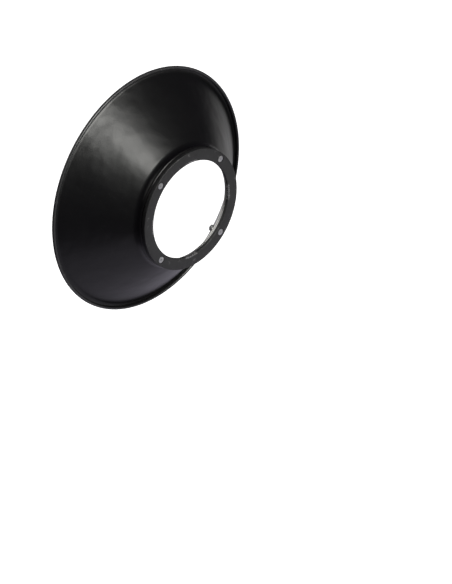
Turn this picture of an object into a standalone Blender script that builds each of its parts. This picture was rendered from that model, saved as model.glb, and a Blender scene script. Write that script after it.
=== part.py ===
"""Wide dish reflector for a studio lamp with a four-finger quick-release mount.

The dish's axis runs along Y. Its mouth faces -Y and its mount side faces +Y. The origin is on
the axis, in the plane of the mount ring's rear seat face, and +Z is up.
"""

from math import cos, pi, radians, sin

import bmesh
import bpy
from mathutils import Matrix, Vector

# Driving dimensions, in metres and degrees.
RIM_OUTER_RADIUS = 0.1097
NECK_OUTER_RADIUS = 0.0550
MOUNT_HOLE_RADIUS = 0.0440
SHEET = 0.0010
CONE_HALF_ANGLE = 48.0
GAP = 0.0003

# The cast ring that seats on the lamp, with the inner lip that the lamp's fingers grip.
RING_THICKNESS = 0.0040
RING_OUTER_RADIUS = 0.0545
LIP_THICKNESS = 0.0025
LIP_OUTER_RADIUS = 0.0462
RING_CHAMFER = 0.0006

# The spun shell, from its rear flange to its rolled edge.
FLANGE_INNER_RADIUS = 0.0464
CORNER_BEND = 0.0015
NECK_LENGTH = 0.0004
FLARE_BEND = 0.0075
LIP_BEND = 0.0050
LIP_TURN = 70.0
ROLL_BEND = 0.0010
ROLL_TURN = 260.0

# The clamp ring inside the dish.
CLAMP_INNER_RADIUS = 0.0465
CLAMP_OUTER_RADIUS = 0.0527
CLAMP_THICKNESS = 0.0015
CLAMP_CHAMFER = 0.0003

# M3 fasteners: countersunk screws from the rear, with nuts inside the dish.
SCREW_COUNT = 4
SCREW_CIRCLE_RADIUS = 0.0496
SCREW_FIRST_ANGLE = 45.0
SCREW_CLOCKING = 7.0
SCREW_CLOCKING_STEP = 31.0
SCREW_LENGTH = 0.0120
SHANK_RADIUS = 0.0015
HEAD_RADIUS = 0.0028
HEAD_DEPTH = 0.0017
HEAD_RIM = 0.0003
CROSS_DEPTH = 0.0010
CROSS_LENGTH = 0.0030
CROSS_WIDTH = 0.0006
CLEARANCE_RADIUS = 0.0018
WASHER_RADIUS = 0.0030
WASHER_THICKNESS = 0.0005
SPRING_WASHER_RADIUS = 0.0029
SPRING_WASHER_THICKNESS = 0.0008
SPRING_WASHER_TURN = 340.0
NUT_ACROSS_FLATS = 0.0055
NUT_THICKNESS = 0.0024
NUT_CHAMFER = 0.0004

# Roundness: segments around the dish, around a fastener, and per bend.
DISH_SEGMENTS = 72
FASTENER_SEGMENTS = 20
BEND_STEPS = 4
LIP_STEPS = 5
ROLL_STEPS = 8
SMOOTH_ANGLE = 35.0

# Where each layer's rear face lies, counted forwards from the seat face.
RING_FRONT_Y = -RING_THICKNESS
FLANGE_REAR_Y = RING_FRONT_Y - GAP
CLAMP_REAR_Y = FLANGE_REAR_Y - SHEET - GAP
WASHER_REAR_Y = CLAMP_REAR_Y - CLAMP_THICKNESS - GAP
SPRING_WASHER_REAR_Y = WASHER_REAR_Y - WASHER_THICKNESS - GAP
NUT_REAR_Y = SPRING_WASHER_REAR_Y - SPRING_WASHER_THICKNESS - GAP
HEAD_REAR_Y = -GAP

# Turns a shape made along +Z so that it runs along +Y.
Z_TO_Y = Matrix.Rotation(-pi / 2.0, 4, "X")


def clear_scene():
    for thing in list(bpy.data.objects):
        bpy.data.objects.remove(thing, do_unlink=True)


def make_material(name, colour, roughness, metallic):
    material = bpy.data.materials.new(name)
    material.use_nodes = True
    shader = material.node_tree.nodes["Principled BSDF"]
    shader.inputs["Base Color"].default_value = (*colour, 1.0)
    shader.inputs["Roughness"].default_value = roughness
    shader.inputs["Metallic"].default_value = metallic
    return material


def finish_mesh(bm, name):
    """Turns a bmesh into a mesh with outward faces and smooth round sides."""
    bmesh.ops.remove_doubles(bm, verts=bm.verts, dist=1e-6)
    bmesh.ops.recalc_face_normals(bm, faces=bm.faces)
    mesh = bpy.data.meshes.new(name)
    bm.to_mesh(mesh)
    bm.free()
    mesh.shade_smooth()
    mesh.set_sharp_from_angle(angle=radians(SMOOTH_ANGLE))
    return mesh


def add_object(name, mesh, material, place=Matrix.Identity(4)):
    piece = bpy.data.objects.new(name, mesh)
    if not mesh.materials:
        mesh.materials.append(material)
    piece.matrix_world = place
    bpy.context.scene.collection.objects.link(piece)
    return piece


def turned_mesh(name, outline, segments, turn=360.0):
    """Spins a closed outline of (radius, y) points about the Y axis.

    A side of the outline that lies on the axis itself sweeps no surface, so it is left out.
    """
    bm = bmesh.new()
    corners = [bm.verts.new((radius, y, 0.0)) for radius, y in outline]
    full_turn = turn >= 360.0
    if full_turn:
        sides = [(corners[i - 1], corners[i]) for i in range(len(corners))]
        profile = [bm.edges.new(side) for side in sides if max(side[0].co.x, side[1].co.x) > 0.0]
    else:
        profile = [bm.faces.new(corners)]
    bmesh.ops.spin(
        bm,
        geom=corners + profile,
        cent=(0.0, 0.0, 0.0),
        axis=(0.0, 1.0, 0.0),
        angle=radians(turn),
        steps=segments,
        use_merge=full_turn,
    )
    return finish_mesh(bm, name)


class SheetPath:
    """Follows the middle of a bent sheet in the plane of radius and y."""

    def __init__(self, radius, y, heading):
        self.place = Vector((radius, y))
        self.heading = radians(heading)
        self.stations = [(self.place.copy(), self.heading)]

    def forward(self, length):
        self.place = self.place + Vector((cos(self.heading), sin(self.heading))) * length
        self.stations.append((self.place.copy(), self.heading))

    def bend(self, bend_radius, turn, steps):
        """Bends to the left for a positive turn, and to the right for a negative one."""
        side = 1.0 if turn > 0.0 else -1.0
        start = self.heading
        centre = self.place + Vector((-sin(start), cos(start))) * bend_radius * side
        for step in range(1, steps + 1):
            self.heading = start + radians(turn) * step / steps
            outward = Vector((sin(self.heading), -cos(self.heading))) * bend_radius * side
            self.place = centre + outward
            self.stations.append((self.place.copy(), self.heading))

    def outline(self, thickness):
        """The closed outline of the sheet: out along one side and back along the other."""
        left = []
        right = []
        for place, heading in self.stations:
            offset = Vector((-sin(heading), cos(heading))) * thickness / 2.0
            left.append(tuple(place + offset))
            right.append(tuple(place - offset))
        return left + right[::-1]


def shell_path(cone_length):
    path = SheetPath(FLANGE_INNER_RADIUS, FLANGE_REAR_Y - SHEET / 2.0, 0.0)
    neck_middle = NECK_OUTER_RADIUS - SHEET / 2.0
    path.forward(neck_middle - CORNER_BEND - FLANGE_INNER_RADIUS)
    path.bend(CORNER_BEND, -90.0, BEND_STEPS)
    path.forward(NECK_LENGTH)
    path.bend(FLARE_BEND, CONE_HALF_ANGLE, BEND_STEPS)
    path.forward(cone_length)
    path.bend(LIP_BEND, LIP_TURN, LIP_STEPS)
    path.bend(ROLL_BEND, ROLL_TURN, ROLL_STEPS)
    return path


def widest_radius(path):
    return max(radius for radius, _ in path.outline(SHEET))


def make_shell(material):
    """The cone is as long as it takes to bring the rolled edge out to the rim's radius."""
    short_of_rim = RIM_OUTER_RADIUS - widest_radius(shell_path(0.0))
    path = shell_path(short_of_rim / sin(radians(CONE_HALF_ANGLE)))
    mesh = turned_mesh("dish_shell", path.outline(SHEET), DISH_SEGMENTS)
    return add_object("dish_shell", mesh, material)


def make_mount_ring(material):
    c = RING_CHAMFER
    outline = [
        (MOUNT_HOLE_RADIUS, -LIP_THICKNESS + c),
        (MOUNT_HOLE_RADIUS, -c),
        (MOUNT_HOLE_RADIUS + c, 0.0),
        (RING_OUTER_RADIUS - c, 0.0),
        (RING_OUTER_RADIUS, -c),
        (RING_OUTER_RADIUS, RING_FRONT_Y + c),
        (RING_OUTER_RADIUS - c, RING_FRONT_Y),
        (LIP_OUTER_RADIUS, RING_FRONT_Y),
        (LIP_OUTER_RADIUS, -LIP_THICKNESS),
        (MOUNT_HOLE_RADIUS + c, -LIP_THICKNESS),
    ]
    mesh = turned_mesh("mount_ring", outline, DISH_SEGMENTS)
    return add_object("mount_ring", mesh, material)


def make_clamp_ring(material):
    front_y = CLAMP_REAR_Y - CLAMP_THICKNESS
    outline = [
        (CLAMP_INNER_RADIUS, CLAMP_REAR_Y),
        (CLAMP_OUTER_RADIUS, CLAMP_REAR_Y),
        (CLAMP_OUTER_RADIUS, front_y + CLAMP_CHAMFER),
        (CLAMP_OUTER_RADIUS - CLAMP_CHAMFER, front_y),
        (CLAMP_INNER_RADIUS + CLAMP_CHAMFER, front_y),
        (CLAMP_INNER_RADIUS, front_y + CLAMP_CHAMFER),
    ]
    mesh = turned_mesh("clamp_ring", outline, DISH_SEGMENTS)
    return add_object("clamp_ring", mesh, material)


def screw_places():
    """Where each screw's axis crosses the seat plane, and how far round the screw has come to rest."""
    for index in range(SCREW_COUNT):
        angle = radians(SCREW_FIRST_ANGLE + 360.0 / SCREW_COUNT * index)
        centre = Vector((cos(angle), 0.0, sin(angle))) * SCREW_CIRCLE_RADIUS
        clocking = radians(SCREW_CLOCKING + SCREW_CLOCKING_STEP * index)
        yield Matrix.Translation(centre) @ Matrix.Rotation(-clocking, 4, "Y")


def add_cutter(name, mesh, place):
    cutter = bpy.data.objects.new(name, mesh)
    cutter.matrix_world = place
    cutter.hide_render = True
    cutter.display_type = "WIRE"
    bpy.context.scene.collection.objects.link(cutter)
    return cutter


def cut(target, cutter):
    modifier = target.modifiers.new("cut_" + cutter.name, "BOOLEAN")
    modifier.operation = "DIFFERENCE"
    modifier.solver = "EXACT"
    modifier.object = cutter


def drill_screw_holes(drilled_pieces):
    """Clearance holes through every layer, countersunk in the rear face of the ring."""
    sink_radius = HEAD_RADIUS + GAP
    sink_depth = HEAD_RIM + GAP
    cone_depth = sink_depth + sink_radius - CLEARANCE_RADIUS
    overshoot = 0.002
    through_y = CLAMP_REAR_Y - CLAMP_THICKNESS - overshoot
    sunk_outline = [
        (0.0, overshoot),
        (0.0, through_y),
        (CLEARANCE_RADIUS, through_y),
        (CLEARANCE_RADIUS, -cone_depth),
        (sink_radius, -sink_depth),
        (sink_radius, overshoot),
    ]
    for number, place in enumerate(screw_places(), start=1):
        mesh = turned_mesh("drill_%d" % number, sunk_outline, FASTENER_SEGMENTS)
        cutter = add_cutter("drill_%d" % number, mesh, place)
        for target in drilled_pieces:
            cut(target, cutter)


def screw_mesh():
    """A countersunk M3 screw along Y, head at the rear, with a cross recess."""
    tip_y = HEAD_REAR_Y - SCREW_LENGTH
    tip_chamfer = SHANK_RADIUS / 4.0
    outline = [
        (0.0, HEAD_REAR_Y),
        (HEAD_RADIUS, HEAD_REAR_Y),
        (HEAD_RADIUS, HEAD_REAR_Y - HEAD_RIM),
        (SHANK_RADIUS, HEAD_REAR_Y - HEAD_DEPTH),
        (SHANK_RADIUS, tip_y + tip_chamfer),
        (SHANK_RADIUS - tip_chamfer, tip_y),
        (0.0, tip_y),
    ]
    return turned_mesh("ring_screw", outline, FASTENER_SEGMENTS)


def cross_mesh():
    """The plus-shaped cutter for a screw's recess."""
    bm = bmesh.new()
    half_length = CROSS_LENGTH / 2.0
    half_width = CROSS_WIDTH / 2.0
    quarter = [(half_length, -half_width), (half_length, half_width), (half_width, half_width)]
    corners = []
    for turn in range(4):
        turned = Matrix.Rotation(-turn * pi / 2.0, 3, "Y")
        corners += [
            bm.verts.new(turned @ Vector((x, HEAD_REAR_Y + CROSS_DEPTH, z))) for x, z in quarter
        ]
    top = bm.faces.new(corners)
    pushed = bmesh.ops.extrude_face_region(bm, geom=[top])
    moved = [item for item in pushed["geom"] if isinstance(item, bmesh.types.BMVert)]
    bmesh.ops.translate(bm, verts=moved, vec=(0.0, -2.0 * CROSS_DEPTH, 0.0))
    return finish_mesh(bm, "cross_recess")


def make_screws(material):
    mesh = screw_mesh()
    recess = cross_mesh()
    for number, place in enumerate(screw_places(), start=1):
        screw = add_object("ring_screw_%d" % number, mesh, material, place)
        cut(screw, add_cutter("cross_%d" % number, recess, place))


def make_flat_washers(material):
    front_y = WASHER_REAR_Y - WASHER_THICKNESS
    outline = [
        (CLEARANCE_RADIUS, WASHER_REAR_Y),
        (WASHER_RADIUS, WASHER_REAR_Y),
        (WASHER_RADIUS, front_y),
        (CLEARANCE_RADIUS, front_y),
    ]
    mesh = turned_mesh("flat_washer", outline, FASTENER_SEGMENTS)
    for number, place in enumerate(screw_places(), start=1):
        add_object("flat_washer_%d" % number, mesh, material, place)


def make_spring_washers(material):
    """Split rings, closed flat as they are when the nut is tight."""
    front_y = SPRING_WASHER_REAR_Y - SPRING_WASHER_THICKNESS
    outline = [
        (CLEARANCE_RADIUS, SPRING_WASHER_REAR_Y),
        (SPRING_WASHER_RADIUS, SPRING_WASHER_REAR_Y),
        (SPRING_WASHER_RADIUS, front_y),
        (CLEARANCE_RADIUS, front_y),
    ]
    mesh = turned_mesh("spring_washer", outline, FASTENER_SEGMENTS, SPRING_WASHER_TURN)
    for number, place in enumerate(screw_places(), start=1):
        add_object("spring_washer_%d" % number, mesh, material, place)


def nut_mesh():
    """A hexagon with chamfered corners and a clearance bore."""
    corner_radius = NUT_ACROSS_FLATS / 2.0 / cos(pi / 6.0)
    front_y = NUT_REAR_Y - NUT_THICKNESS
    bm = bmesh.new()
    bmesh.ops.create_cone(
        bm,
        cap_ends=True,
        segments=6,
        radius1=corner_radius,
        radius2=corner_radius,
        depth=NUT_THICKNESS,
        matrix=Matrix.Translation((0.0, (NUT_REAR_Y + front_y) / 2.0, 0.0)) @ Z_TO_Y,
    )
    ends = [edge for edge in bm.edges if abs(edge.verts[0].co.y - edge.verts[1].co.y) < 1e-6]
    bmesh.ops.bevel(bm, geom=ends, offset=NUT_CHAMFER, segments=1, profile=0.5, affect="EDGES", material=-1)
    return finish_mesh(bm, "hex_nut")


def make_nuts(material):
    mesh = nut_mesh()
    bore_outline = [
        (0.0, NUT_REAR_Y + NUT_THICKNESS),
        (0.0, NUT_REAR_Y - 2.0 * NUT_THICKNESS),
        (CLEARANCE_RADIUS, NUT_REAR_Y - 2.0 * NUT_THICKNESS),
        (CLEARANCE_RADIUS, NUT_REAR_Y + NUT_THICKNESS),
    ]
    bore = turned_mesh("nut_bore", bore_outline, FASTENER_SEGMENTS)
    for number, place in enumerate(screw_places(), start=1):
        nut = add_object("hex_nut_%d" % number, mesh, material, place)
        cut(nut, add_cutter("bore_%d" % number, bore, place))


def main():
    clear_scene()
    black_paint = make_material("black_paint", (0.012, 0.012, 0.013), 0.42, 0.0)
    black_cast = make_material("black_cast", (0.020, 0.020, 0.021), 0.50, 0.3)
    bright_steel = make_material("bright_steel", (0.55, 0.55, 0.56), 0.30, 1.0)
    zinc_plate = make_material("zinc_plate", (0.62, 0.63, 0.65), 0.35, 1.0)
    shell = make_shell(black_paint)
    ring = make_mount_ring(black_cast)
    clamp = make_clamp_ring(bright_steel)
    drill_screw_holes([ring, shell, clamp])
    make_screws(zinc_plate)
    make_flat_washers(zinc_plate)
    make_spring_washers(zinc_plate)
    make_nuts(zinc_plate)


main()
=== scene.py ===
from math import cos, pi, radians, sin, tan

import bmesh
import bpy
from mathutils import Matrix, Vector


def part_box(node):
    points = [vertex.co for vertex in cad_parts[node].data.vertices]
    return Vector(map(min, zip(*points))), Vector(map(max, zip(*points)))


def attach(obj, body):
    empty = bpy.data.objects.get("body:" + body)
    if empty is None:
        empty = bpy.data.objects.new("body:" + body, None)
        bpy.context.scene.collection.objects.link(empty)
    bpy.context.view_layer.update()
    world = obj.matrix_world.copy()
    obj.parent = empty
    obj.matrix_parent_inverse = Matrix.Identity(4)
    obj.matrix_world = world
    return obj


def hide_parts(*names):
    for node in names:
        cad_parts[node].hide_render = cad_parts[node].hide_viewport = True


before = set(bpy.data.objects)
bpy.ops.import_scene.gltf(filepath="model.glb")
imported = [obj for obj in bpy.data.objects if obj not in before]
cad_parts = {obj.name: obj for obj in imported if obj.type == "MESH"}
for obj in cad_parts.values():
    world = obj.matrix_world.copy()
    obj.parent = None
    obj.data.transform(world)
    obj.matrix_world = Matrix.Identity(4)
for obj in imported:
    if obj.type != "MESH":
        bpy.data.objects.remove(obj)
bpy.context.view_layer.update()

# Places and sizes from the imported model, in metres. The dish's axis is Y, and its mouth faces -Y.
RIM_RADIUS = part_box("dish_shell")[1].z
FLANGE_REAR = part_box("dish_shell")[1].y
RING_FRONT, RING_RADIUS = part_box("mount_ring")[0].y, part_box("mount_ring")[1].z
CLAMP_LOW, CLAMP_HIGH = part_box("clamp_ring")
SCREW_LOW, SCREW_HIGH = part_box("ring_screw_1")
WASHER_LOW, WASHER_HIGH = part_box("flat_washer_1")
SPRING_LOW, SPRING_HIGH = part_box("spring_washer_1")
NUT_LOW, NUT_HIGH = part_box("hex_nut_1")

# The shell's sheet and its bends, measured along the middle of the sheet.
SHEET = 0.0010
FLANGE_INNER = 0.0464
NECK_OUTER = 0.0550
CORNER_BEND = 0.0015
NECK_LENGTH = 0.0004
FLARE_BEND = 0.0075
CONE_ANGLE = 48.0
LIP_BEND = 0.0050
LIP_TURN = 70.0
LIP_CREST_TURN = 42.0
ROLL_BEND = 0.0010
ROLL_TURN = 260.0
CONE_STEPS = 6
TRIAL_CONE = 0.006
DISH_SEGMENTS = 240

# The mount ring's lip and hole, and the clamp ring's hole.
MOUNT_HOLE = 0.0440
LIP_OUTER = 0.0462
LIP_THICKNESS = 0.0025
CLAMP_INNER = 0.0465

# The M3 fasteners.
FASTENERS = 4
FIRST_ANGLE = 45.0
FASTENER_CIRCLE = 0.0496
CLOCKING = 7.0
CLOCKING_STEP = 31.0
HOLE_RADIUS = 0.0018
WASHER_RADIUS = 0.0030
SPRING_RADIUS = 0.0029
SPRING_TURN = 340.0
SPRING_RISE = 0.00012
SHANK_RADIUS = 0.0015
THREAD_DEPTH = 0.00028
THREAD_PITCH = 0.0005
THREAD_STEPS = 20
HEAD_RADIUS = 0.0028
HEAD_DEPTH = 0.0017
HEAD_RIM = 0.0003
SINK_CLEARANCE = 0.0003
CROSS_LENGTH = 0.0030
CROSS_WIDTH = 0.0006
CROSS_DEPTH = 0.0010
CROSS_TAPER = 0.55
ACROSS_FLATS = 0.0055
NUT_FACE_SHARE = 0.97
NUT_SINK = 0.0002
FASTENER_SEGMENTS = 48
SMOOTH_ANGLE = 32.0

# The camera: a long lens, looking at the back of the dish from its mount side. It aims beside and
# below the point where the front edge of a lamp would cross the dish's axis.
VIEW_AZIMUTH = 135.25
VIEW_ELEVATION = 29.12
CAMERA_DISTANCE = 3.7975
LENS = 277.4
AIM_RIGHT = 0.0367
AIM_DOWN = 0.0731
LAMP_EDGE = -0.0105

# The studio: what the lamps face, and a floor that curves up into a wall.
DISH_CENTRE = Vector((0.0, -0.03, 0.0))
FLOOR_DROP = 0.60
FLOOR_RADIUS = 7.0
FLOOR_BEND = 1.5
WALL_HEIGHT = 7.0


# ---------------------------------------------------------------- meshes

def keep_mesh(bm, name):
    """Turns a bmesh into a mesh with merged doubles and outward faces."""
    bmesh.ops.remove_doubles(bm, verts=bm.verts, dist=1e-7)
    bmesh.ops.recalc_face_normals(bm, faces=bm.faces)
    mesh = bpy.data.meshes.new(name)
    bm.to_mesh(mesh)
    bm.free()
    return mesh


def add_piece(name, mesh, finish, node):
    """Adds a mesh, smooth on its round sides, as the visible piece in place of a CAD node."""
    mesh.shade_smooth()
    mesh.set_sharp_from_angle(angle=radians(SMOOTH_ANGLE))
    mesh.materials.clear()
    mesh.materials.append(finish)
    piece = bpy.data.objects.new(name, mesh)
    bpy.context.scene.collection.objects.link(piece)
    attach(piece, "root")
    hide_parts(node)


def carve(mesh, cutters, operation="DIFFERENCE"):
    """Cuts closed meshes out of another, and returns the result as a new mesh."""
    target = bpy.data.objects.new("carve_target", mesh)
    bpy.context.scene.collection.objects.link(target)
    helpers = [target]
    for number, cutter_mesh in enumerate(cutters):
        cutter = bpy.data.objects.new("carve_cutter", cutter_mesh)
        bpy.context.scene.collection.objects.link(cutter)
        helpers.append(cutter)
        modifier = target.modifiers.new("carve_%d" % number, "BOOLEAN")
        modifier.operation = operation
        modifier.object = cutter
    evaluated = target.evaluated_get(bpy.context.evaluated_depsgraph_get())
    carved = bpy.data.meshes.new_from_object(evaluated)
    for helper in helpers:
        bpy.data.objects.remove(helper)
    return carved


def spin_edges(bm, edges, segments):
    """Spins edges a full turn about the Y axis."""
    verts = list({vert for edge in edges for vert in edge.verts})
    bmesh.ops.spin(
        bm,
        geom=verts + edges,
        cent=(0.0, 0.0, 0.0),
        axis=(0.0, 1.0, 0.0),
        angle=2.0 * pi,
        steps=segments,
        use_merge=True,
    )


def turned(name, outline, rounding, segments, steps=3, sharp=()):
    """Turns an outline of (radius, y) corners about Y, with every corner rounded off.

    Corners on the axis and those listed as sharp keep their points.
    """
    bm = bmesh.new()
    corners = [bm.verts.new((radius, y, 0.0)) for radius, y in outline]
    blank = bm.faces.new(corners)
    soft = [v for i, v in enumerate(corners) if v.co.x > 0.0 and i not in sharp]
    if rounding > 0.0:
        bmesh.ops.bevel(
            bm,
            geom=soft,
            offset=rounding,
            segments=steps,
            profile=0.5,
            affect="VERTICES",
            material=-1,
        )
    bmesh.ops.delete(bm, geom=list(bm.faces), context="FACES_ONLY")
    on_axis = [e for e in bm.edges if max(v.co.x for v in e.verts) <= 0.0]
    bmesh.ops.delete(bm, geom=on_axis, context="EDGES")
    spin_edges(bm, list(bm.edges), segments)
    return keep_mesh(bm, name)


class SheetSection:
    """The cut section of a bent sheet: an edge across the sheet is pushed and spun along.

    The layer bare_metal is 1 on the side that stays unpainted.
    """

    def __init__(self, radius, y, heading):
        self.bm = bmesh.new()
        self.bare = self.bm.verts.layers.float.new("bare_metal")
        self.place = Vector((radius, y, 0.0))
        self.heading = radians(heading)
        offset = self.left() * SHEET / 2.0
        ends = [self.bm.verts.new(self.place + offset), self.bm.verts.new(self.place - offset)]
        ends[1][self.bare] = 1.0
        self.edge = self.bm.edges.new(ends)

    def left(self):
        return Vector((-sin(self.heading), cos(self.heading), 0.0))

    def forward(self, length):
        step = Vector((cos(self.heading), sin(self.heading), 0.0)) * length
        pushed = bmesh.ops.extrude_edge_only(self.bm, edges=[self.edge])["geom"]
        bmesh.ops.translate(
            self.bm, verts=[item for item in pushed if isinstance(item, bmesh.types.BMVert)], vec=step
        )
        self.edge = next(item for item in pushed if isinstance(item, bmesh.types.BMEdge))
        self.place = self.place + step

    def bend(self, bend_radius, turn, steps):
        """Bends to the left for a positive turn, and to the right for a negative one."""
        centre = self.place + self.left() * bend_radius * (1.0 if turn > 0.0 else -1.0)
        spun = bmesh.ops.spin(
            self.bm,
            geom=[self.edge] + list(self.edge.verts),
            cent=centre,
            axis=(0.0, 0.0, 1.0),
            angle=radians(turn),
            steps=steps,
            use_merge=False,
        )["geom_last"]
        self.edge = next(item for item in spun if isinstance(item, bmesh.types.BMEdge))
        self.place = centre + Matrix.Rotation(radians(turn), 3, "Z") @ (self.place - centre)
        self.heading += radians(turn)

    def paint_edge(self):
        """Ends the bare metal here: both sides of what follows are painted."""
        for vert in self.edge.verts:
            vert[self.bare] = 0.0


def shell_section(cone_length):
    section = SheetSection(FLANGE_INNER, FLANGE_REAR - SHEET / 2.0, 0.0)
    section.forward(NECK_OUTER - SHEET / 2.0 - CORNER_BEND - FLANGE_INNER)
    section.bend(CORNER_BEND, -90.0, 8)
    section.forward(NECK_LENGTH)
    section.bend(FLARE_BEND, CONE_ANGLE, 12)
    for _ in range(CONE_STEPS):
        section.forward(cone_length / CONE_STEPS)
    section.bend(LIP_BEND, LIP_CREST_TURN, 10)
    section.paint_edge()
    section.bend(LIP_BEND, LIP_TURN - LIP_CREST_TURN, 10)
    section.bend(ROLL_BEND, ROLL_TURN, 22)
    return section


def shell_mesh():
    """The spun shell. Its cone is as long as it takes for the rolled edge to reach the rim."""
    trial = shell_section(TRIAL_CONE)
    reach = max(vert.co.x for vert in trial.bm.verts)
    trial.bm.free()
    bm = shell_section(TRIAL_CONE + (RIM_RADIUS - reach) / sin(radians(CONE_ANGLE))).bm
    outline = [edge for edge in bm.edges if edge.is_boundary]
    bmesh.ops.delete(bm, geom=list(bm.faces), context="FACES_ONLY")
    inner = [edge for edge in bm.edges if edge not in set(outline)]
    bmesh.ops.delete(bm, geom=inner, context="EDGES")
    spin_edges(bm, list(bm.edges), DISH_SEGMENTS)
    return keep_mesh(bm, "spun_shell")


def fastener_places():
    for index in range(FASTENERS):
        angle = radians(FIRST_ANGLE + 360.0 / FASTENERS * index)
        centre = Vector((cos(angle), 0.0, sin(angle))) * FASTENER_CIRCLE
        clocking = radians(CLOCKING + CLOCKING_STEP * index)
        yield index + 1, Matrix.Translation(centre) @ Matrix.Rotation(-clocking, 4, "Y")


def drills():
    """One drill for each screw hole, with the countersink for the ring's rear face."""
    wide = HEAD_RADIUS + SINK_CLEARANCE
    deep = HEAD_RIM + SINK_CLEARANCE
    past = 0.002
    outline = [
        (0.0, past),
        (0.0, CLAMP_LOW.y - past),
        (HOLE_RADIUS, CLAMP_LOW.y - past),
        (HOLE_RADIUS, -deep - wide + HOLE_RADIUS),
        (wide, -deep),
        (wide, past),
    ]
    made = []
    for number, place in fastener_places():
        mesh = turned("drill_%d" % number, outline, 0.0, FASTENER_SEGMENTS)
        mesh.transform(place)
        made.append(mesh)
    return made


def ring_mesh():
    outline = [
        (MOUNT_HOLE, -LIP_THICKNESS),
        (MOUNT_HOLE, 0.0),
        (RING_RADIUS, 0.0),
        (RING_RADIUS, RING_FRONT),
        (LIP_OUTER, RING_FRONT),
        (LIP_OUTER, -LIP_THICKNESS),
    ]
    return turned("mount_ring", outline, 0.0005, DISH_SEGMENTS, steps=4, sharp=(5,))


def clamp_mesh():
    outline = [
        (CLAMP_INNER, CLAMP_LOW.y),
        (CLAMP_INNER, CLAMP_HIGH.y),
        (CLAMP_HIGH.z, CLAMP_HIGH.y),
        (CLAMP_HIGH.z, CLAMP_LOW.y),
    ]
    return turned("clamp_ring", outline, 0.0003, DISH_SEGMENTS)


def cross_bars():
    """The two crossed bars that leave a screw's recess, narrower at their tips."""
    bars = []
    for turn in range(2):
        bm = bmesh.new()
        shape = Matrix.Diagonal((CROSS_LENGTH, CROSS_DEPTH * 2.0, CROSS_WIDTH, 1.0))
        across = Matrix.Rotation(turn * pi / 2.0, 4, "Y")
        bar = bmesh.ops.create_cube(bm, size=1.0, matrix=across @ shape)["verts"]
        tip = [vert for vert in bar if vert.co.y < 0.0]
        bmesh.ops.scale(bm, vec=(CROSS_TAPER, 1.0, CROSS_TAPER), verts=tip)
        bmesh.ops.translate(bm, verts=bm.verts, vec=(0.0, SCREW_HIGH.y, 0.0))
        bars.append(keep_mesh(bm, "cross_bar"))
    return bars


def thread(bm):
    """A V ridge that winds round the shank."""
    top = SCREW_HIGH.y - HEAD_DEPTH - THREAD_PITCH
    turns = int((top - SCREW_LOW.y) / THREAD_PITCH) - 1
    sunk = SHANK_RADIUS - THREAD_DEPTH - 0.00003
    half_width = THREAD_PITCH * 0.42
    ridge = [(sunk, top + half_width), (SHANK_RADIUS, top), (sunk, top - half_width)]
    section = bm.faces.new([bm.verts.new((radius, y, 0.0)) for radius, y in ridge])
    steps = THREAD_STEPS * turns
    bmesh.ops.spin(
        bm,
        geom=[section] + list(section.edges) + list(section.verts),
        cent=(0.0, 0.0, 0.0),
        axis=(0.0, 1.0, 0.0),
        dvec=(0.0, -THREAD_PITCH * turns / steps, 0.0),
        angle=2.0 * pi * turns,
        steps=steps,
        use_merge=False,
    )


def screw_mesh(place):
    root = SHANK_RADIUS - THREAD_DEPTH
    outline = [
        (0.0, SCREW_LOW.y),
        (0.0, SCREW_HIGH.y),
        (HEAD_RADIUS, SCREW_HIGH.y),
        (HEAD_RADIUS, SCREW_HIGH.y - HEAD_RIM),
        (SHANK_RADIUS, SCREW_HIGH.y - HEAD_DEPTH),
        (root, SCREW_HIGH.y - HEAD_DEPTH - THREAD_DEPTH),
        (root, SCREW_LOW.y),
    ]
    blank = turned("screw", outline, 0.00010, FASTENER_SEGMENTS)
    carved = carve(blank, cross_bars())
    bm = bmesh.new()
    bm.from_mesh(carved)
    thread(bm)
    bmesh.ops.transform(bm, matrix=place, verts=bm.verts)
    return keep_mesh(bm, "screw")


def washer_mesh(place):
    outline = [
        (HOLE_RADIUS, WASHER_LOW.y),
        (HOLE_RADIUS, WASHER_HIGH.y),
        (WASHER_RADIUS, WASHER_HIGH.y),
        (WASHER_RADIUS, WASHER_LOW.y),
    ]
    mesh = turned("washer", outline, 0.0001, FASTENER_SEGMENTS)
    mesh.transform(place)
    return mesh


def split_washer_mesh(place):
    """A split ring whose ends stand a little apart along the screw."""
    bm = bmesh.new()
    outline = [
        (HOLE_RADIUS, SPRING_LOW.y + SPRING_RISE),
        (HOLE_RADIUS, SPRING_HIGH.y),
        (SPRING_RADIUS, SPRING_HIGH.y),
        (SPRING_RADIUS, SPRING_LOW.y + SPRING_RISE),
    ]
    section = bm.faces.new([bm.verts.new((radius, y, 0.0)) for radius, y in outline])
    bmesh.ops.bevel(
        bm,
        geom=list(section.verts),
        offset=0.00012,
        segments=2,
        profile=0.5,
        affect="VERTICES",
        material=-1,
    )
    section = next(iter(bm.faces))
    bmesh.ops.spin(
        bm,
        geom=[section] + list(section.edges) + list(section.verts),
        cent=(0.0, 0.0, 0.0),
        axis=(0.0, 1.0, 0.0),
        dvec=(0.0, -SPRING_RISE / FASTENER_SEGMENTS, 0.0),
        angle=radians(SPRING_TURN),
        steps=FASTENER_SEGMENTS,
        use_merge=False,
    )
    bmesh.ops.transform(bm, matrix=place, verts=bm.verts)
    return keep_mesh(bm, "split_washer")


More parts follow.
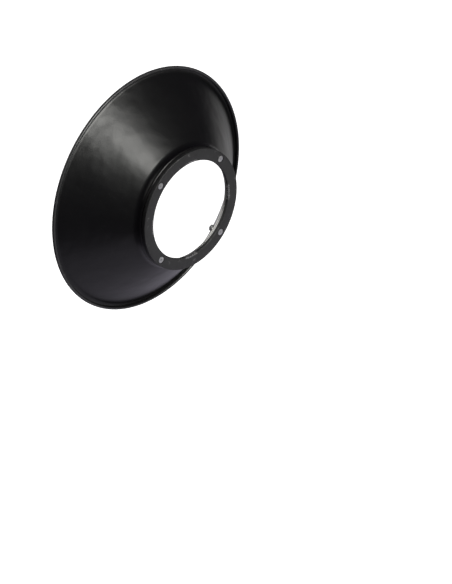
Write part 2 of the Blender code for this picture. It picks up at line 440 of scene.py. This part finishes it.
def nut_mesh(place):
    """A hexagon whose corners are turned off at 30 degrees on both ends, with a countersunk bore."""
    corner = ACROSS_FLATS / 2.0 / cos(pi / 6.0)
    middle = (NUT_LOW.y + NUT_HIGH.y) / 2.0
    height = NUT_HIGH.y - NUT_LOW.y
    bm = bmesh.new()
    bmesh.ops.create_cone(
        bm,
        cap_ends=True,
        segments=6,
        radius1=corner,
        radius2=corner,
        depth=height,
        matrix=Matrix.Translation((0.0, middle, 0.0)) @ Matrix.Rotation(-pi / 2.0, 4, "X"),
    )
    hexagon = keep_mesh(bm, "nut")
    face = ACROSS_FLATS / 2.0 * NUT_FACE_SHARE
    slope = (corner - face) * tan(radians(30.0))
    barrel = [
        (HOLE_RADIUS, NUT_LOW.y + NUT_SINK),
        (HOLE_RADIUS + NUT_SINK, NUT_LOW.y),
        (face, NUT_LOW.y),
        (corner, NUT_LOW.y + slope),
        (corner, NUT_HIGH.y - slope),
        (face, NUT_HIGH.y),
        (HOLE_RADIUS + NUT_SINK, NUT_HIGH.y),
        (HOLE_RADIUS, NUT_HIGH.y - NUT_SINK),
    ]
    mesh = carve(hexagon, [turned("nut_barrel", barrel, 0.0, FASTENER_SEGMENTS)], "INTERSECT")
    mesh.transform(place)
    return mesh


# ---------------------------------------------------------------- finishes

class Signal:
    """A value inside a material. Sums and products of signals add the Math nodes they need."""

    def __init__(self, finish, socket):
        self.finish = finish
        self.socket = socket

    def math(self, operation, first, second):
        return self.finish.node("ShaderNodeMath", {"operation": operation}, {0: first, 1: second})

    def __add__(self, other):
        return self.math("ADD", self, other)

    __radd__ = __add__

    def __sub__(self, other):
        return self.math("SUBTRACT", self, other)

    def __rsub__(self, other):
        return self.math("SUBTRACT", other, self)

    def __mul__(self, other):
        return self.math("MULTIPLY", self, other)

    __rmul__ = __mul__


class Finish:
    """A material under construction, with the coordinates that a turned piece needs."""

    def __init__(self, name):
        self.material = bpy.data.materials.new(name)
        self.material.use_nodes = True
        self.tree = self.material.node_tree
        self.shader = self.tree.nodes["Principled BSDF"]
        self.place = self.node("ShaderNodeTexCoord", output="Object")
        parts = self.tree.nodes.new("ShaderNodeSeparateXYZ")
        self.tree.links.new(self.place.socket, parts.inputs[0])
        x, self.y, z = [Signal(self, parts.outputs[axis]) for axis in "XYZ"]
        self.radius = self.node("ShaderNodeMath", {"operation": "SQRT"}, {0: x * x + z * z})
        self.angle = self.node("ShaderNodeMath", {"operation": "ARCTAN2"}, {0: z, 1: x})

    def node(self, kind, settings=None, inputs=None, output=0):
        """Adds a node: its settings first, then the values or links of its sockets."""
        made = self.tree.nodes.new(kind)
        for key, value in (settings or {}).items():
            setattr(made, key, value)
        for key, value in (inputs or {}).items():
            self.feed(made.inputs[key], value)
        return Signal(self, made.outputs[output])

    def feed(self, socket, value):
        if isinstance(value, Signal):
            self.tree.links.new(value.socket, socket)
        else:
            socket.default_value = value

    def set(self, **inputs):
        """Feeds the shader's inputs, such as base_color or roughness."""
        for key, value in inputs.items():
            self.feed(self.shader.inputs[key.replace("_", " ").title()], value)

    def noise(self, size, detail=3.0, roughness=0.5, output="Fac"):
        """Soft noise whose features are about size metres across."""
        return self.node(
            "ShaderNodeTexNoise",
            {"noise_dimensions": "3D"},
            {"Vector": self.place, "Scale": 1.0 / size, "Detail": detail, "Roughness": roughness},
            output,
        )

    def rings(self, along, size, detail=2.0):
        """Fine lines that follow the turning: noise along one coordinate only."""
        return self.node(
            "ShaderNodeTexNoise",
            {"noise_dimensions": "1D"},
            {"W": along, "Scale": 1.0 / size, "Detail": detail, "Roughness": 0.6},
        )

    def ramp(self, value, low, high, to_low=0.0, to_high=1.0):
        """Maps value from low..high to to_low..to_high smoothly, and holds it beyond both ends."""
        return self.node(
            "ShaderNodeMapRange",
            {"interpolation_type": "SMOOTHSTEP"},
            {0: value, 1: low, 2: high, 3: to_low, 4: to_high},
        )

    def mix(self, share, first, second):
        """A colour that goes from first to second as share goes from 0 to 1."""
        return self.node(
            "ShaderNodeMix",
            {"data_type": "RGBA", "clamp_factor": True},
            {0: share, 6: first, 7: second},
            2,
        )

    def blend(self, share, first, second):
        """A number that goes from first to second as share goes from 0 to 1."""
        inputs = {0: share, 2: first, 3: second}
        return self.node("ShaderNodeMix", {"data_type": "FLOAT"}, inputs)

    def bump(self, height, depth, normal=None):
        """Relief of the given depth in metres."""
        inputs = {"Strength": 1.0, "Distance": depth, "Height": height}
        if normal is not None:
            inputs["Normal"] = normal
        return self.node("ShaderNodeBump", None, inputs)


def grey(value, blue=1.0):
    return (value, value, value * blue, 1.0)


def shell_finish():
    """Satin black paint outside, with a painted sheen and a little wear on the rolled edge, and bare
    spun aluminium inside.
    """
    f = Finish("black_paint_over_spun_aluminium")
    bare = f.node("ShaderNodeAttribute", {"attribute_name": "bare_metal"}, output="Fac")
    bare = f.ramp(bare + (f.noise(0.004) - 0.5) * 0.3, 0.45, 0.55)
    along = f.radius - f.y
    lines = f.rings(along, 0.00035)
    broad_lines = f.rings(along, 0.004)
    peel = f.noise(0.0011, 2.0)
    patches = f.noise(0.035, 4.0, 0.6)
    dust = f.ramp(f.noise(0.0007, 1.0), 0.72, 0.80)
    # The ring of the rolled edge: it is both where the painted sheen goes and where the rubbed wear
    # lies.
    bead_sheen_and_wear = f.ramp(f.radius, RIM_RADIUS - 0.0022, RIM_RADIUS - 0.0008)
    rubbed = bead_sheen_and_wear * f.ramp(f.noise(0.0022, 4.0, 0.7), 0.56, 0.66)
    waves = f.bump(f.noise(0.014, 1.0), 0.0004)
    paint = f.mix(patches, grey(0.0024, 1.1), grey(0.0036, 1.06))
    # Painted sheen: the paint on the rolled edge is made lighter all round, standing in for the pale
    # backdrop's reflection at grazing angles.
    paint = f.mix(bead_sheen_and_wear, paint, grey(0.034, 1.04))
    paint = f.mix(dust * 0.35, paint, grey(0.06))
    paint = f.mix(rubbed * 0.5, paint, grey(0.10))
    metal = f.mix(lines, grey(0.60), grey(0.78))
    metal = f.mix(broad_lines * 0.35, metal, grey(0.52, 1.02))
    painted_roughness = patches * 0.10 + 0.29 + dust * 0.2
    spun_roughness = lines * 0.16 + 0.20 + patches * 0.08
    f.set(
        base_color=f.mix(bare, paint, metal),
        metallic=bare,
        roughness=f.blend(bare, painted_roughness, spun_roughness),
    )
    painted_relief = peel * 0.6 + lines * 0.25 + broad_lines * 0.15
    spun_relief = lines * 0.8 + broad_lines * 0.2
    relief = painted_relief * (1.0 - bare) + spun_relief * bare
    f.set(normal=f.bump(relief, 0.00002, waves))
    return f.material


def ring_finish():
    """Black anodised casting, turned on its rear face and rubbed where the fingers grip the lip."""
    f = Finish("black_anodised_casting")
    cast = f.noise(0.0006, 4.0, 0.7)
    marks = f.rings(f.radius, 0.00022)
    turned_face = f.ramp(f.y, -0.0006, -0.0002)
    patches = f.noise(0.012, 3.0)
    fingers = f.ramp(f.node("ShaderNodeMath", {"operation": "COSINE"}, {0: f.angle * 4.0}), 0.72, 0.9)
    on_lip = 1.0 - f.ramp(f.radius, LIP_OUTER - 0.0010, LIP_OUTER - 0.0002)
    rub = fingers * on_lip * f.ramp(f.noise(0.0009, 4.0, 0.7), 0.40, 0.62)
    seat_rub = turned_face * f.ramp(f.noise(0.006, 5.0, 0.7), 0.58, 0.70) * 0.35
    worn = f.ramp(rub + seat_rub, 0.0, 1.0)
    black = f.mix(patches, grey(0.016), grey(0.026, 1.02))
    f.set(
        base_color=f.mix(worn, black, grey(0.45)),
        metallic=worn * 0.8 + 0.2,
        roughness=0.52 - turned_face * 0.14 + cast * 0.08 - worn * 0.12,
        normal=f.bump(cast * (1.0 - turned_face) + marks * turned_face, 0.00004),
    )
    return f.material


def steel_finish():
    """Bright zinc-plated steel with fine turning marks."""
    f = Finish("bright_steel")
    marks = f.rings(f.radius, 0.00018)
    patches = f.noise(0.006, 4.0)
    f.set(
        base_color=f.mix(patches, grey(0.46), (0.58, 0.57, 0.54, 1.0)),
        metallic=1.0,
        roughness=marks * 0.16 + patches * 0.10 + 0.22,
        normal=f.bump(marks, 0.00001),
    )
    return f.material


def zinc_finish():
    """Blue-white zinc plate with a faint spangle."""
    f = Finish("zinc_plate")
    spangle = f.noise(0.0006, 2.0)
    patches = f.noise(0.004, 3.0)
    f.set(
        base_color=f.mix(patches, (0.50, 0.52, 0.56, 1.0), (0.62, 0.61, 0.56, 1.0)),
        metallic=1.0,
        roughness=spangle * 0.2 + 0.24,
        normal=f.bump(spangle, 0.00001),
    )
    return f.material


def floor_finish():
    """A matt white that glows, so that the floor stays plain and pale without a lamp on it."""
    f = Finish("pale_floor")
    f.set(
        base_color=f.mix(f.noise(0.4, 3.0), grey(0.80), grey(0.83)),
        roughness=f.noise(0.05) * 0.1 + 0.75,
        emission_color=f.mix(f.noise(0.8, 2.0), grey(1.04), grey(1.08)),
    )
    f.shader.inputs["Emission Strength"].default_value = 1.0
    return f.material


# ---------------------------------------------------------------- the pieces

def make_pieces():
    shell = carve(shell_mesh(), drills())
    ring = carve(ring_mesh(), drills())
    clamp = carve(clamp_mesh(), drills())
    add_piece("spun_dish_shell", shell, shell_finish(), "dish_shell")
    add_piece("cast_mount_ring", ring, ring_finish(), "mount_ring")
    add_piece("steel_clamp_ring", clamp, steel_finish(), "clamp_ring")
    zinc = zinc_finish()
    fasteners = [
        ("countersunk_screw", screw_mesh, "ring_screw"),
        ("plain_washer", washer_mesh, "flat_washer"),
        ("split_washer", split_washer_mesh, "spring_washer"),
        ("hexagon_nut", nut_mesh, "hex_nut"),
    ]
    for number, place in fastener_places():
        for name, make_mesh, node in fasteners:
            mesh = make_mesh(place)
            add_piece("%s_%d" % (name, number), mesh, zinc, "%s_%d" % (node, number))


# ---------------------------------------------------------------- camera, floor and light

def view_axes():
    """The camera's right, up and back directions."""
    a = radians(VIEW_AZIMUTH)
    e = radians(VIEW_ELEVATION)
    right = Vector((cos(a), sin(a), 0.0))
    back = Vector((sin(a) * cos(e), -cos(a) * cos(e), sin(e)))
    return right, back.cross(right), back


def make_camera():
    right, up, back = view_axes()
    aim = Vector((0.0, LAMP_EDGE, 0.0)) + right * AIM_RIGHT - up * AIM_DOWN
    camera = bpy.data.objects.new("camera", bpy.data.cameras.new("camera"))
    camera.data.lens = LENS
    camera.data.clip_start = 0.1
    camera.data.clip_end = 50.0
    camera.location = aim + back * CAMERA_DISTANCE
    camera.rotation_euler = back.to_track_quat("Z", "Y").to_euler()
    bpy.context.scene.collection.objects.link(camera)
    bpy.context.scene.camera = camera


def make_floor():
    """A pale floor that curves up into a wall all round. It glows softly, and lights nothing."""
    reach = FLOOR_RADIUS - FLOOR_BEND
    bm = bmesh.new()
    ends = [bm.verts.new((x, 0.0, -FLOOR_DROP)) for x in (0.0, reach)]
    bm.edges.new(ends)
    bend = bmesh.ops.spin(
        bm,
        geom=[ends[1]],
        cent=(reach, 0.0, FLOOR_BEND - FLOOR_DROP),
        axis=(0.0, -1.0, 0.0),
        angle=pi / 2.0,
        steps=12,
    )
    top = [item for item in bend["geom_last"] if isinstance(item, bmesh.types.BMVert)]
    raised = bmesh.ops.extrude_vert_indiv(bm, verts=top)["verts"]
    bmesh.ops.translate(bm, verts=raised, vec=(0.0, 0.0, WALL_HEIGHT))
    bmesh.ops.spin(
        bm,
        geom=list(bm.verts) + list(bm.edges),
        cent=(0.0, 0.0, 0.0),
        axis=(0.0, 0.0, 1.0),
        angle=2.0 * pi,
        steps=64,
        use_merge=True,
    )
    bmesh.ops.remove_doubles(bm, verts=bm.verts, dist=1e-5)
    mesh = bpy.data.meshes.new("floor")
    bm.to_mesh(mesh)
    bm.free()
    mesh.shade_smooth()
    mesh.materials.append(floor_finish())
    floor = bpy.data.objects.new("floor", mesh)
    floor.visible_glossy = False
    floor.visible_diffuse = False
    floor.visible_shadow = False
    bpy.context.scene.collection.objects.link(floor)


def hang_lamp(name, data, place, direction, upright=(0.0, 0.0, 1.0)):
    """Hangs a lamp that shines against the given direction, unseen by the camera itself."""
    back = Vector(direction).normalized()
    side = Vector(upright).cross(back).normalized()
    turn = Matrix((side, back.cross(side), back)).transposed()
    lamp = bpy.data.objects.new(name, data)
    lamp.location = place
    lamp.rotation_euler = turn.to_euler()
    lamp.visible_camera = False
    bpy.context.scene.collection.objects.link(lamp)


def add_softbox(name, direction, distance, size, radiance, colour, upright=(0.0, 0.0, 1.0)):
    """A softbox of the given width and height that faces the dish."""
    data = bpy.data.lights.new(name, "AREA")
    data.shape = "RECTANGLE"
    data.size, data.size_y = size
    data.energy = radiance * size[0] * size[1] * pi
    data.color = colour
    place = DISH_CENTRE + Vector(direction).normalized() * distance
    hang_lamp(name, data, place, direction, upright)


def make_light():
    """A dim surround, with one softbox for each sheen on the dish and one in front of its mouth."""
    world = bpy.data.worlds.new("studio")
    world.use_nodes = True
    surround = world.node_tree.nodes["Background"]
    surround.inputs["Color"].default_value = (0.84, 0.74, 1.0, 1.0)
    surround.inputs["Strength"].default_value = 0.035
    bpy.context.scene.world = world
    bpy.context.scene.view_settings.view_transform = "Standard"
    warm = (1.0, 1.0, 0.96)
    cool = (0.90, 0.86, 1.0)
    add_softbox("key_box", (-0.05, 0.92, 0.40), 2.0, (0.68, 1.6), 13.0, warm, (-0.52, 0.24, -0.82))
    add_softbox("under_box", (-0.25, 0.15, -0.95), 0.55, (1.25, 1.25), 0.35, cool, (0.0, 1.0, 0.0))
    add_softbox("back_box", (-0.66, -0.60, -0.50), 2.0, (2.4, 2.0), 0.10, cool)
    add_softbox("rim_box", (-0.82, -0.46, -0.34), 2.0, (1.9, 1.3), 0.42, warm)
    add_softbox("seat_box", (-0.62, 0.62, -0.48), 1.0, (0.4, 0.4), 0.35, warm)
    add_softbox("mouth_box", (0.35, -0.85, 0.40), 2.0, (2.0, 2.0), 1.5, warm)


make_camera()
make_floor()
make_light()
make_pieces()
